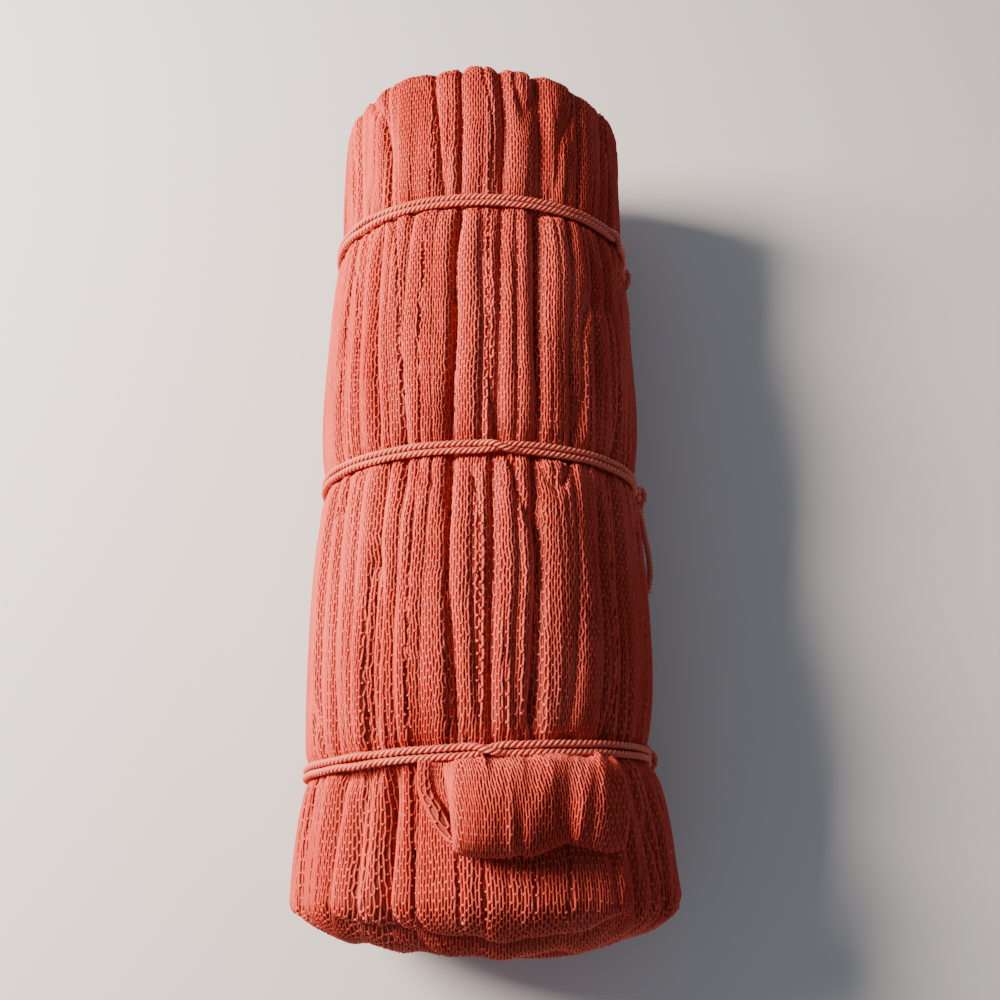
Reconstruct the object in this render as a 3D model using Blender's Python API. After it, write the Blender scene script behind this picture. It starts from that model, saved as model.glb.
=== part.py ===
"""A tied bundle of knotted fishing net, lying on its side.

The netting is pulled straight, so that its meshes close, and folded back and
forth into a thick bundle. Doubled twine holds it at three places, knotted at
the bundle's right side, and one hairpin of the netting has fallen open over the
skirt below the lowest tie.

Metres, +Z up. The bundle lies along Y with its lower end at -Y, flat where it
touches the plane z = 0, and the origin is under its middle.
"""

import math
from collections import namedtuple

import bmesh
import bpy
from mathutils import Vector

# The bundle
LENGTH = 0.556
ROUNDNESS = 2.05  # exponent of the cross-section: 2 is an ellipse, more is boxier
AXIS_X = -0.0045  # the bundle's middle line, which the flared skirt leans away from
WAIST_HALF_WIDTH = 0.0945
WAIST_TOP = 0.150
WAIST_UNDER = 0.0065
REST_DEPTH = 0.009  # how far the round section would reach below the plane it is flattened on
GROOVE = 0.0105  # width of netting that the doubled twine pulls in
SWELL_POWER = 0.45
END_DOME = 0.030
END_RINGS = (0.97, 0.87, 0.70, 0.42)  # share of the section's size at each ring of a rounded end
ROW_SHARES = (0.05, 0.15, 0.31, 0.5, 0.69, 0.85, 0.95)  # rows between two ties
END_ROW_SHARES = (0.1, 0.28, 0.55, 0.8, 1.0)  # rows from a tie to a rounded end
TOP_ANGLE, TOP_STEP, UNDER_STEP = 99.0, 3.0, 20.0  # degrees, from the top

# The hairpins of netting that show at each end as rolls, one above the other
ROLL_SEAMS = (0.044, 0.084, 0.121)
SEAM_RADIUS = 0.010
SEAM_DEPTH = 0.007
SEAM_LENGTH = 0.227  # the bar that cuts a seam is longer than the bundle is wide
SEAM_FLATNESS = 0.6
SEAM_SIDES = 12

# The twine
TWINE = 0.004
TURN_CLEARANCE = 0.0011  # from the netting's facets to the twine's skin
TURN_PITCH = 0.0044
TURN_POINTS = 34
GAP = 0.0004
KNOT_RADII = (0.0062, 0.0070, 0.0085)  # out from the bundle, along it, and around it
KNOT_SUBDIVISIONS = 2

Section = namedtuple("Section", "half_width top under middle_x")

Tie = namedtuple("Tie", "name y skew knot_angle")
TIES = (
    Tie("lower", y=-0.178, skew=0.055, knot_angle=101.0),
    Tie("middle", y=-0.010, skew=0.010, knot_angle=97.0),
    Tie("upper", y=0.158, skew=0.004, knot_angle=102.0),
)

# One row for each stretch of netting between two ties, or between a tie and an end
Stretch = namedtuple("Stretch", "name start end half_width top middle_x")
STRETCHES = (
    Stretch("skirt", -LENGTH / 2, -0.178, 0.1080, 0.1480, 0.0015),
    Stretch("lower", -0.178, -0.010, 0.1005, 0.1650, AXIS_X),
    Stretch("middle", -0.010, 0.158, 0.0995, 0.1645, AXIS_X),
    Stretch("upper", 0.158, LENGTH / 2, 0.0965, 0.1630, AXIS_X),
)

# The main creases: angles from the top towards +X, in degrees; depth in metres
Crease = namedtuple("Crease", "stretch lower_angle upper_angle depth half_width")
CREASES = (
    Crease("skirt", -41.0, -38.0, 0.0045, 3.0),
    Crease("skirt", -31.0, -27.0, 0.0090, 3.5),
    Crease("skirt", 47.0, 40.0, 0.0035, 3.0),
    Crease("skirt", 66.0, 62.0, 0.0040, 4.0),
    Crease("skirt", -68.0, -66.0, 0.0040, 4.0),
    Crease("lower", -60.0, -60.0, 0.0030, 3.5),
    Crease("lower", -34.0, -32.0, 0.0025, 3.0),
    Crease("lower", -5.5, -9.5, 0.0050, 2.6),
    Crease("lower", 4.0, 5.0, 0.0060, 2.6),
    Crease("lower", 17.5, 19.0, 0.0055, 2.8),
    Crease("lower", 52.0, 56.0, 0.0030, 4.0),
    Crease("middle", -56.0, -57.0, 0.0030, 3.5),
    Crease("middle", -37.0, -39.0, 0.0030, 3.0),
    Crease("middle", -10.0, -7.0, 0.0065, 2.6),
    Crease("middle", 5.5, 8.0, 0.0050, 2.6),
    Crease("middle", 19.5, 22.0, 0.0055, 2.8),
    Crease("middle", 58.0, 54.0, 0.0035, 4.0),
    Crease("upper", -36.0, -40.0, 0.0030, 3.0),
    Crease("upper", -14.0, -20.0, 0.0035, 2.6),
    Crease("upper", -8.0, -7.0, 0.0065, 2.6),
    Crease("upper", 9.0, 7.0, 0.0045, 2.6),
    Crease("upper", 24.0, 22.0, 0.0045, 3.0),
    Crease("upper", 56.0, 60.0, 0.0030, 4.0),
)

# The fallen hairpin: one row for each station across it, from its open left side.
# nose is how far it reaches from the lower tie, and rise its height over the skirt.
Station = namedtuple("Station", "x nose rise")
HAIRPIN = (
    Station(-0.024, 0.0400, 0.0170),
    Station(-0.014, 0.0480, 0.0230),
    Station(0.000, 0.0520, 0.0250),
    Station(0.018, 0.0525, 0.0235),
    Station(0.032, 0.0500, 0.0205),
    Station(0.042, 0.0465, 0.0175),
    Station(0.054, 0.0505, 0.0190),
    Station(0.066, 0.0520, 0.0175),
    Station(0.074, 0.0470, 0.0110),
)
# Its profile: reach is the share of the nose, and height the share of the rise
Profile = namedtuple("Profile", "reach height sunk")
HAIRPIN_PROFILE = (
    Profile(-0.02, 0.0, 0.008),
    Profile(0.09, 0.0, 0.0),
    Profile(0.17, 0.38, 0.0),
    Profile(0.34, 0.80, 0.0),
    Profile(0.58, 1.0, 0.0),
    Profile(0.80, 0.93, 0.0),
    Profile(0.95, 0.68, 0.0),
    Profile(1.0, 0.38, 0.0),
    Profile(0.93, 0.10, 0.0),
    Profile(0.74, 0.0, 0.008),
)
POCKET_END_X = 0.026
POCKET_END_SIZE = 0.25  # share of the mouth's size
POCKET_OVERRUN = 0.020  # how far the hollow's cutter starts outside the mouth
POCKET_MOUTH = (  # reach and height, as above, of the hollow at the hairpin's open side
    Profile(0.26, 0.16, 0.0),
    Profile(0.36, 0.46, 0.0),
    Profile(0.58, 0.66, 0.0),
    Profile(0.78, 0.60, 0.0),
    Profile(0.86, 0.38, 0.0),
    Profile(0.74, 0.14, 0.0),
)

# The free ends of the twine, from the knot's middle: out from the bundle, along it, and up
TAIL_ROUTES = {
    "lower": (
        ((0.0020, -0.0032, -0.0096), (0.0040, -0.0052, -0.0180), (0.0064, -0.0110, -0.0290),
         (0.0080, -0.0190, -0.0400), (0.0074, -0.0270, -0.0500)),
        ((0.0020, 0.0032, -0.0096), (0.0036, 0.0050, -0.0170), (0.0056, 0.0090, -0.0280),
         (0.0054, 0.0120, -0.0390)),
    ),
    "middle": (
        ((0.0020, -0.0032, -0.0096), (0.0042, -0.0062, -0.0160), (0.0076, -0.0160, -0.0260),
         (0.0112, -0.0290, -0.0360), (0.0124, -0.0400, -0.0450), (0.0110, -0.0470, -0.0540)),
        ((0.0020, 0.0032, -0.0096), (0.0038, 0.0040, -0.0180), (0.0062, 0.0030, -0.0290),
         (0.0070, -0.0010, -0.0400), (0.0060, -0.0050, -0.0510)),
    ),
    "upper": (
        ((0.0020, -0.0032, -0.0096), (0.0040, -0.0050, -0.0180), (0.0064, -0.0100, -0.0290),
         (0.0070, -0.0160, -0.0390)),
        ((0.0020, 0.0032, -0.0096), (0.0040, 0.0060, -0.0170), (0.0062, 0.0130, -0.0270),
         (0.0076, 0.0210, -0.0370), (0.0070, 0.0280, -0.0470)),
    ),
}
TAIL_STEP = 0.0088  # metres between the points of a tail's tube

NETTING_COLOUR = (0.50, 0.085, 0.055, 1.0)
TWINE_COLOUR = (0.56, 0.14, 0.10, 1.0)


def clear_scene():
    for thing in list(bpy.data.objects):
        bpy.data.objects.remove(thing)


def fibre(name, colour, roughness):
    material = bpy.data.materials.new(name)
    material.use_nodes = True
    shader = material.node_tree.nodes["Principled BSDF"]
    shader.inputs["Base Color"].default_value = colour
    shader.inputs["Roughness"].default_value = roughness
    shader.inputs["Metallic"].default_value = 0.0
    return material


def lerp(a, b, share):
    return a + (b - a) * share


def signed_power(value, power):
    return math.copysign(abs(value) ** power, value)


# The shape of the netting


def stretch_at(y):
    for stretch in STRETCHES:
        if y <= stretch.end:
            return stretch
    return STRETCHES[-1]


def tied_ends(stretch):
    """Where the stretch's free netting starts and ends, and whether a tie is there."""
    low_tied = stretch.start > -LENGTH / 2
    high_tied = stretch.end < LENGTH / 2
    low = stretch.start + (GROOVE / 2 if low_tied else 0.0)
    high = stretch.end - (GROOVE / 2 if high_tied else 0.0)
    return low, high, low_tied, high_tied


def swell(stretch, y):
    """0 where the twine pulls the netting in, rising to 1 away from it."""
    low, high, low_tied, high_tied = tied_ends(stretch)
    share = min(max((y - low) / (high - low), 0.0), 1.0)
    if not high_tied:
        share = share / 2
    if not low_tied:
        share = (1 + share) / 2
    return max(4 * share * (1 - share), 0.0) ** SWELL_POWER


def section_at(y):
    stretch = stretch_at(y)
    share = swell(stretch, y)
    return Section(
        half_width=lerp(WAIST_HALF_WIDTH, stretch.half_width, share),
        top=lerp(WAIST_TOP, stretch.top, share),
        under=lerp(WAIST_UNDER, -REST_DEPTH, share),
        middle_x=lerp(AXIS_X, stretch.middle_x, share),
    )


def skew_at(y):
    """How much a row across the netting slants, in metres of y for each metre of x."""
    marks = [(-LENGTH / 2, 0.0)] + [(tie.y, tie.skew) for tie in TIES] + [(LENGTH / 2, 0.0)]
    for (y0, skew0), (y1, skew1) in zip(marks, marks[1:]):
        if y <= y1:
            return lerp(skew0, skew1, (y - y0) / (y1 - y0))
    return 0.0


def crease_depth(angle, y):
    stretch = stretch_at(y)
    share = (y - stretch.start) / (stretch.end - stretch.start)
    depth = 0.0
    for crease in CREASES:
        if crease.stretch == stretch.name:
            middle = lerp(crease.lower_angle, crease.upper_angle, share)
            depth += crease.depth * math.exp(-(((angle - middle) / crease.half_width) ** 2))
    return depth


def skin_point(angle, y, size=1.0, creased=True):
    """A point of the netting's outside, at an angle from its top towards +X."""
    section = section_at(y)
    middle_z = (section.top + section.under) / 2
    half_height = (section.top - section.under) / 2
    turn = math.radians(angle)
    x = section.half_width * signed_power(math.sin(turn), 2 / ROUNDNESS)
    z = half_height * signed_power(math.cos(turn), 2 / ROUNDNESS)
    inward = crease_depth(angle, y) / math.hypot(x, z) if creased else 0.0
    x, z = x * size * (1 - inward), z * size * (1 - inward)
    return Vector((x + section.middle_x, y + skew_at(y) * x, max(z + middle_z, 0.0)))


def top_at(x, y):
    """The height of the uncreased netting over (x, y)."""
    section = section_at(y)
    across = min(abs(x - section.middle_x) / section.half_width, 0.98)
    up = (1 - across**ROUNDNESS) ** (1 / ROUNDNESS)
    return (section.top + section.under) / 2 + up * (section.top - section.under) / 2


def column_angles():
    count = round(2 * TOP_ANGLE / TOP_STEP)
    over = [-TOP_ANGLE + TOP_STEP * i for i in range(count + 1)]
    under = 360.0 - 2 * TOP_ANGLE
    steps = round(under / UNDER_STEP)
    return over + [TOP_ANGLE + under * i / steps for i in range(1, steps)]


def netting_rows():
    """(y of the section, y moved by an end's dome, size) for each row, lower end first."""
    rows = []
    for stretch in STRETCHES:
        low, high, low_tied, high_tied = tied_ends(stretch)
        if low_tied and high_tied:
            places = [low] + [lerp(low, high, share) for share in ROW_SHARES] + [high]
        elif high_tied:
            rim = low + END_DOME
            places = [lerp(high, rim, share) for share in reversed(END_ROW_SHARES)] + [high]
        else:
            rim = high - END_DOME
            places = [low] + [lerp(low, rim, share) for share in END_ROW_SHARES]
        rows += [(place, 0.0, 1.0) for place in places]
    furthest = math.sqrt(1 - END_RINGS[-1] ** 2)
    dome = [(END_DOME * math.sqrt(1 - size**2) / furthest, size) for size in END_RINGS]
    first, last = rows[0][0], rows[-1][0]
    lower = [(first, -out, size) for out, size in reversed(dome)]
    upper = [(last, out, size) for out, size in dome]
    return lower + rows + upper


def mesh_object(name, points, faces, material):
    """A closed mesh of triangles, facing out, from points and the faces between them."""
    shape = bmesh.new()
    vertices = [shape.verts.new(point) for point in points]
    for face in faces:
        shape.faces.new([vertices[i] for i in face])
    bmesh.ops.triangulate(shape, faces=shape.faces[:])
    bmesh.ops.recalc_face_normals(shape, faces=shape.faces[:])
    mesh = bpy.data.meshes.new(name)
    shape.to_mesh(mesh)
    shape.free()
    mesh.materials.append(material)
    mesh.shade_smooth()
    thing = bpy.data.objects.new(name, mesh)
    bpy.context.scene.collection.objects.link(thing)
    return thing


def lofted(name, rings, material):
    """Rings of equal count joined in turn, each end closed on the middle of its ring."""
    count = len(rings[0])
    points = [point for ring in rings for point in ring]
    points += [sum(ring, Vector()) / count for ring in (rings[0], rings[-1])]
    faces = []
    for row in range(len(rings) - 1):
        for i in range(count):
            j = (i + 1) % count
            a, b = row * count, (row + 1) * count
            faces.append((a + i, a + j, b + j, b + i))
    last = (len(rings) - 1) * count
    for i in range(count):
        j = (i + 1) % count
        faces.append((i, j, len(points) - 2))
        faces.append((last + i, last + j, len(points) - 1))
    return mesh_object(name, points, faces, material)


def helper(thing):
    """Marks a shape that only joins or cuts another one."""
    thing.hide_render = True
    thing.display_type = "WIRE"
    return thing


def boolean(thing, other, operation):
    modifier = thing.modifiers.new(other.name, "BOOLEAN")
    modifier.operation = operation
    modifier.solver = "EXACT"
    modifier.object = helper(other)


def gathered_netting(material):
    """The netting itself: pulled in at the ties, swollen and creased between them."""
    angles = column_angles()
    rings = []
    for y, out, size in netting_rows():
        rings.append([skin_point(angle, y, size) + Vector((0, out, 0)) for angle in angles])
    return lofted("net_bundle", rings, material)


def roll_seam(side, number, height, material):
    """A round bar across an end: it cuts the groove between two hairpins of netting."""
    centre_y = side * (LENGTH / 2 - SEAM_DEPTH + SEAM_RADIUS)
    ring = []
    for step in range(SEAM_SIDES):
        turn = math.tau * (step + 0.5) / SEAM_SIDES
        z = height + SEAM_FLATNESS * SEAM_RADIUS * math.sin(turn)
        ring.append((centre_y + SEAM_RADIUS * math.cos(turn), z))
    rings = [[Vector((x, y, z)) for y, z in ring] for x in (-SEAM_LENGTH / 2, SEAM_LENGTH / 2)]
    return lofted(f"roll_seam_{'upper' if side > 0 else 'lower'}_{number}", rings, material)


def hairpin_ring(station, profile):
    """One section of the hairpin, in the plane across its station."""
    tie = TIES[0]
    ring = []
    for point in profile:
        y = tie.y + tie.skew * station.x - point.reach * station.nose
        base = top_at(station.x, min(y, tie.y - GROOVE / 2))
        ring.append(Vector((station.x, y, base + point.height * station.rise - point.sunk)))
    return ring


def fallen_hairpin(material):
    rings = [hairpin_ring(station, HAIRPIN_PROFILE) for station in HAIRPIN]
    return lofted("fallen_hairpin", rings, material)


def hairpin_pocket(material):
    """The hollow between the hairpin's two layers, open on the left and closing to the right."""
    mouth = hairpin_ring(HAIRPIN[1], POCKET_MOUTH)
    outside = [point - Vector((POCKET_OVERRUN, 0, 0)) for point in mouth]
    far = hairpin_ring(HAIRPIN[3]._replace(x=POCKET_END_X), POCKET_MOUTH)
    middle = sum(far, Vector()) / len(far)
    closed = [middle.lerp(point, POCKET_END_SIZE) for point in far]
    return lofted("hairpin_pocket", [outside, mouth, closed], material)


# The ties


def around_waist(tie, angle, out):
    """A point beside the netting at a tie: out from its skin, square to it."""
    here = skin_point(angle, tie.y, creased=False)
    along = skin_point(angle + 1, tie.y, creased=False) - skin_point(angle - 1, tie.y, creased=False)
    along.y = 0.0
    square = Vector((along.z, 0.0, -along.x)).normalized()
    away = here - Vector((section_at(tie.y).middle_x, here.y, (WAIST_TOP + WAIST_UNDER) / 2))
    if square.dot(away) < 0:
        square = -square
    return here + square * out, square


def tube(name, points, material):
    """A round cord through the given points, with flat ends."""
    curve = bpy.data.curves.new(name, "CURVE")
    curve.dimensions = "3D"
    curve.bevel_depth = TWINE / 2
    curve.bevel_resolution = 2
    curve.use_fill_caps = True
    spline = curve.splines.new("POLY")
    spline.points.add(len(points) - 1)
    for place, point in zip(spline.points, points):
        place.co = (*point, 1.0)
    curve.materials.append(material)
    thing = bpy.data.objects.new(name, curve)
    bpy.context.scene.collection.objects.link(thing)
    return thing


def twine_turn(tie, letter, side, material):
    """One turn of the doubled twine, from one side of its knot round to the other."""
    out = TWINE / 2 + TURN_CLEARANCE
    half_knot = math.degrees((KNOT_RADII[2] + GAP) / (WAIST_TOP / 2))
    first = tie.knot_angle + half_knot
    last = tie.knot_angle + 360.0 - half_knot
    points = []
    for step in range(TURN_POINTS):
        place, _ = around_waist(tie, lerp(first, last, step / (TURN_POINTS - 1)), out)
        place.y += side * TURN_PITCH / 2
        points.append(place)
    return tube(f"tie_{tie.name}_turn_{letter}", points, material)


def knot_middle(tie):
    place, _ = around_waist(tie, tie.knot_angle, KNOT_RADII[0] + GAP)
    return place


def twine_knot(tie, material):
    """The reef knot that closes a tie, as the lump of its outer shape."""
    middle = knot_middle(tie)
    _, square = around_waist(tie, tie.knot_angle, 0.0)
    around = square.cross(Vector((0, 1, 0)))
    out_radius, along_radius, around_radius = KNOT_RADII
    shape = bmesh.new()
    bmesh.ops.create_icosphere(shape, subdivisions=KNOT_SUBDIVISIONS, radius=1.0)
    points = []
    for vertex in shape.verts:
        across, along, up = vertex.co
        points.append(
            middle + square * (across * out_radius) + Vector((0, along * along_radius, 0))
            + around * (up * around_radius)
        )
    faces = [tuple(vertex.index for vertex in face.verts) for face in shape.faces]
    shape.free()
    return mesh_object(f"tie_{tie.name}_knot", points, faces, material)


def smooth_route(points, step):
    """Points about a step apart on the Catmull-Rom curve through the route's own points."""
    points = [2 * points[0] - points[1]] + points + [2 * points[-1] - points[-2]]
    route = []
    for p0, p1, p2, p3 in zip(points, points[1:], points[2:], points[3:]):
        count = max(1, round((p2 - p1).length / step))
        for i in range(count):
            t = i / count
            route.append(
                0.5 * (2 * p1 + (p2 - p0) * t + (2 * p0 - 5 * p1 + 4 * p2 - p3) * t**2
                       + (3 * p1 - p0 - 3 * p2 + p3) * t**3)
            )
    return route + [points[-2]]


def twine_tails(tie, material):
    middle = knot_middle(tie)
    for letter, route in zip("ab", TAIL_ROUTES[tie.name]):
        points = smooth_route([middle + Vector(place) for place in route], TAIL_STEP)
        tube(f"tie_{tie.name}_tail_{letter}", points, material)


def build():
    clear_scene()
    netting = fibre("dipped_netting", NETTING_COLOUR, 0.75)
    twine = fibre("laid_twine", TWINE_COLOUR, 0.7)
    bundle = gathered_netting(netting)
    for side in (-1, 1):
        for number, height in enumerate(ROLL_SEAMS, 1):
            boolean(bundle, roll_seam(side, number, height, netting), "DIFFERENCE")
    boolean(bundle, fallen_hairpin(netting), "UNION")
    boolean(bundle, hairpin_pocket(netting), "DIFFERENCE")
    for tie in TIES:
        twine_turn(tie, "a", -1, twine)
        twine_turn(tie, "b", 1, twine)
        twine_knot(tie, twine)
        twine_tails(tie, twine)


build()
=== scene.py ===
import math
from collections import namedtuple

import bpy
import numpy as np
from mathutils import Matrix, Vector


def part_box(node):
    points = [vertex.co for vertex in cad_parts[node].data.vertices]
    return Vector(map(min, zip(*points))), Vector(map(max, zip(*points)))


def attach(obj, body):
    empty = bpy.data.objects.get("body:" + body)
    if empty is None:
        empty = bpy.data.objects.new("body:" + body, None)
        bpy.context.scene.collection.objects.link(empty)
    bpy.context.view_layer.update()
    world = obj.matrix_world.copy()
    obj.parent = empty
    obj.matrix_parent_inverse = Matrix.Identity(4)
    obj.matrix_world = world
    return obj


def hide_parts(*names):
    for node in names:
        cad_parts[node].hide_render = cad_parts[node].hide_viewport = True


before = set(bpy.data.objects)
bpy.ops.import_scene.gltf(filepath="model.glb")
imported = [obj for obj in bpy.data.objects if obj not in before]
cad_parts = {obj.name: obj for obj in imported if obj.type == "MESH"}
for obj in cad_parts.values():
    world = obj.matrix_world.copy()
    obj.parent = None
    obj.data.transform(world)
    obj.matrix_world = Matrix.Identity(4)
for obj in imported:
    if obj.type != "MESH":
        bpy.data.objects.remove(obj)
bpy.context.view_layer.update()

# ---------------------------------------------------------------------------
# Camera
# It stands over the lower end of the bundle and looks steeply down its length,
# so that the far end narrows and each tie curves over the netting.
bpy.ops.object.select_all(action="DESELECT")
bpy.ops.object.camera_add(location=(0.0081, -0.246, 0.683), rotation=(math.radians(21.0), 0.0, 0.0))
camera = bpy.context.object
camera.data.sensor_width = 36.0
camera.data.lens = 37.0
bpy.context.scene.camera = camera

# ---------------------------------------------------------------------------
# Free ends of the ties
# Each tie ends in two short lengths of three-strand nylon twine, laid right-handed
# and dipped with the net. They hang from the knot, and their cut ends have opened.
LAY = 0.0095  # metres of twine for one full twist of its strands
STRAND = 0.00104  # radius of one of the three strands
STRAND_OUT = 0.00108  # from the twine's middle line to a strand's
STRAND_SIDES = 6
STEP = 0.0009  # metres between the points of a strand
OPENED = 0.0011  # how far the strands part at a cut end
OPENED_OVER = 0.008  # and the length of twine over which they do
U_SPAN = 0.9  # how much of its own unit of u a strand's round takes, so u's whole part numbers it
TAIL_ROUTES = {  # out from the bundle, along it and up, from the knot's middle
    "lower": (
        ((0.0020, -0.0032, -0.0096), (0.0040, -0.0052, -0.0180), (0.0064, -0.0110, -0.0290),
         (0.0080, -0.0190, -0.0400), (0.0074, -0.0270, -0.0500)),
        ((0.0020, 0.0032, -0.0096), (0.0036, 0.0050, -0.0170), (0.0056, 0.0090, -0.0280),
         (0.0054, 0.0120, -0.0390)),
    ),
    "middle": (
        ((0.0020, -0.0032, -0.0096), (0.0042, -0.0062, -0.0160), (0.0076, -0.0160, -0.0260),
         (0.0112, -0.0290, -0.0360), (0.0124, -0.0400, -0.0450), (0.0110, -0.0470, -0.0540)),
        ((0.0020, 0.0032, -0.0096), (0.0038, 0.0040, -0.0180), (0.0062, 0.0030, -0.0290),
         (0.0070, -0.0010, -0.0400), (0.0060, -0.0050, -0.0510)),
    ),
    "upper": (
        ((0.0020, -0.0032, -0.0096), (0.0040, -0.0050, -0.0180), (0.0064, -0.0100, -0.0290),
         (0.0070, -0.0160, -0.0390)),
        ((0.0020, 0.0032, -0.0096), (0.0040, 0.0060, -0.0170), (0.0062, 0.0130, -0.0270),
         (0.0076, 0.0210, -0.0370), (0.0070, 0.0280, -0.0470)),
    ),
}


def linear(code):
    """An sRGB hex colour as linear RGBA."""
    values = [int(code[i : i + 2], 16) / 255 for i in (1, 3, 5)]
    return tuple(v / 12.92 if v <= 0.04045 else ((v + 0.055) / 1.055) ** 2.4 for v in values) + (1.0,)


def add(tree, kind, settings=(), links=()):
    """Adds a node. A setting is an attribute of it or else the value of an input."""
    made = tree.nodes.new(kind)
    for key, value in dict(settings).items():
        if isinstance(key, str) and hasattr(made, key):
            setattr(made, key, value)
        else:
            made.inputs[key].default_value = value
    for key, source in dict(links).items():
        tree.links.new(source, made.inputs[key])
    return made


def unit(vectors):
    return vectors / np.maximum(np.linalg.norm(vectors, axis=-1, keepdims=True), 1e-12)


def evenly(route, step):
    """Points a step apart on the Catmull-Rom curve through a route."""
    route = np.asarray(route, float)
    route = np.vstack([2 * route[0] - route[1], route, 2 * route[-1] - route[-2]])
    t = np.linspace(0, 1, 30, endpoint=False)[:, None]
    spans = []
    for a, b, c, d in zip(route, route[1:], route[2:], route[3:]):
        spans.append(0.5 * (2 * b + (c - a) * t + (2 * a - 5 * b + 4 * c - d) * t**2
                            + (3 * b - a - 3 * c + d) * t**3))
    dense = np.vstack(spans + [route[-2:-1]])
    run = np.concatenate([[0], np.cumsum(np.linalg.norm(np.diff(dense, axis=0), axis=1))])
    marks = np.linspace(0, run[-1], max(2, round(run[-1] / step) + 1))
    return np.stack([np.interp(marks, run, dense[:, i]) for i in range(route.shape[1])], 1)


def solid(name, points, blocks, uv, material):
    """A smooth mesh at the origin. Each block is an array of faces with as many corners."""
    mesh = bpy.data.meshes.new(name)
    corners = np.concatenate([block.ravel() for block in blocks])
    sizes = np.concatenate([np.full(len(block), block.shape[1]) for block in blocks])
    mesh.vertices.add(len(points))
    mesh.vertices.foreach_set("co", np.asarray(points, np.float32).ravel())
    mesh.loops.add(len(corners))
    mesh.loops.foreach_set("vertex_index", corners.astype(np.int32))
    mesh.polygons.add(len(sizes))
    mesh.polygons.foreach_set("loop_start", (np.cumsum(sizes) - sizes).astype(np.int32))
    mesh.update(calc_edges=True)
    mesh.uv_layers.new(name="run").data.foreach_set("uv", np.asarray(uv, np.float32).ravel())
    mesh.materials.append(material)
    mesh.shade_smooth()
    piece = bpy.data.objects.new(name, mesh)
    bpy.context.scene.collection.objects.link(piece)
    return piece


def strands(name, paths, ups, radius, sides, material, run, first=0):
    """Round strands of as many points each, as one mesh.

    Its UV map holds the strand's number and share of the way around, and then its run."""
    count, stops = paths.shape[:2]
    ahead = unit(np.gradient(paths, axis=1))
    side = unit(np.cross(ahead, ups))
    over = np.cross(side, ahead)
    turn = np.arange(sides) * math.tau / sides + math.pi / 2
    ring = np.cos(turn)[:, None] * side[:, :, None] + np.sin(turn)[:, None] * over[:, :, None]
    points = paths[:, :, None] + ring * np.broadcast_to(radius, (count, stops))[..., None, None]
    strand, stop, spot = np.indices((count, stops - 1, sides))
    here = (strand * stops + stop) * sides + spot
    beside = (strand * stops + stop) * sides + (spot + 1) % sides
    quads = np.stack([here, here + sides, beside + sides, beside], -1).reshape(-1, 4)
    starts = np.arange(count)[:, None] * stops * sides + np.arange(sides)
    run = np.broadcast_to(run, (count, stops))
    u = first + strand[..., None] + U_SPAN * np.stack([spot, spot, spot + 1, spot + 1], -1) / sides
    v = np.stack([run[strand, stop], run[strand, stop + 1], run[strand, stop + 1], run[strand, stop]], -1)
    cap_u = np.broadcast_to(first + np.arange(count)[:, None] + U_SPAN / 2, (count, sides))
    uv = [np.stack([u, v], -1).reshape(-1, 2)]
    for end in (0, -1):
        cap_v = np.broadcast_to(run[:, end, None], cap_u.shape)
        uv.append(np.stack([cap_u, cap_v], -1).reshape(-1, 2))
    blocks = [quads, starts, (starts + (stops - 1) * sides)[:, ::-1]]
    return solid(name, points.reshape(-1, 3), blocks, np.concatenate(uv), material)


# Laid nylon twine, dipped red: satin fibres that run aslant along each strand, paler where they rub, and
# painted shade that darkens the grooves where two strands meet.
FIBRES = 9  # slanting fibre lines for one turn round a strand, coarse enough to show
laid_twine = bpy.data.materials.new("laid_nylon_twine")
laid_twine.use_nodes = True
tree = laid_twine.node_tree
shader = tree.nodes["Principled BSDF"]
place = add(tree, "ShaderNodeTexCoord")
split = add(tree, "ShaderNodeSeparateXYZ", {}, {0: place.outputs["UV"]})
around = add(tree, "ShaderNodeMath", {"operation": "MULTIPLY", 1: FIBRES / U_SPAN}, {0: split.outputs[0]})
lines = add(tree, "ShaderNodeMath", {"operation": "ADD"}, {0: around.outputs[0], 1: split.outputs[1]})
wave = add(tree, "ShaderNodeMath", {"operation": "PINGPONG", 1: 0.5}, {0: lines.outputs[0]})
fuzz = add(tree, "ShaderNodeTexNoise", {"Scale": 900.0, "Detail": 2.0}, {"Vector": place.outputs["Object"]})
patch = add(tree, "ShaderNodeTexNoise", {"Scale": 45.0, "Detail": 2.0}, {"Vector": place.outputs["Object"]})
shade = add(tree, "ShaderNodeMix", {"data_type": "RGBA", 6: linear("#C84430"), 7: linear("#E8806C")},
            {0: patch.outputs["Fac"]})
# Painted shade: the slanting grooves between the fibres are mixed towards dark #7A2A20.
groove_shade_mask = add(tree, "ShaderNodeMapRange", {"From Max": 0.22, "To Min": 0.55, "To Max": 1.0},
            {"Value": wave.outputs[0]})
groove_shade = add(tree, "ShaderNodeMix", {"data_type": "RGBA", 6: linear("#7A2A20")},
           {0: groove_shade_mask.outputs[0], 7: shade.outputs[2]})
tree.links.new(groove_shade.outputs[2], shader.inputs["Base Color"])
height = add(tree, "ShaderNodeMath", {"operation": "MULTIPLY_ADD", 1: 0.6},
             {0: wave.outputs[0], 2: fuzz.outputs["Fac"]})
bump = add(tree, "ShaderNodeBump", {"Strength": 0.5, "Distance": 0.0002}, {"Height": height.outputs[0]})
tree.links.new(bump.outputs[0], shader.inputs["Normal"])
shader.inputs["Roughness"].default_value = 0.5
shader.inputs["Specular IOR Level"].default_value = 0.35


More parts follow.
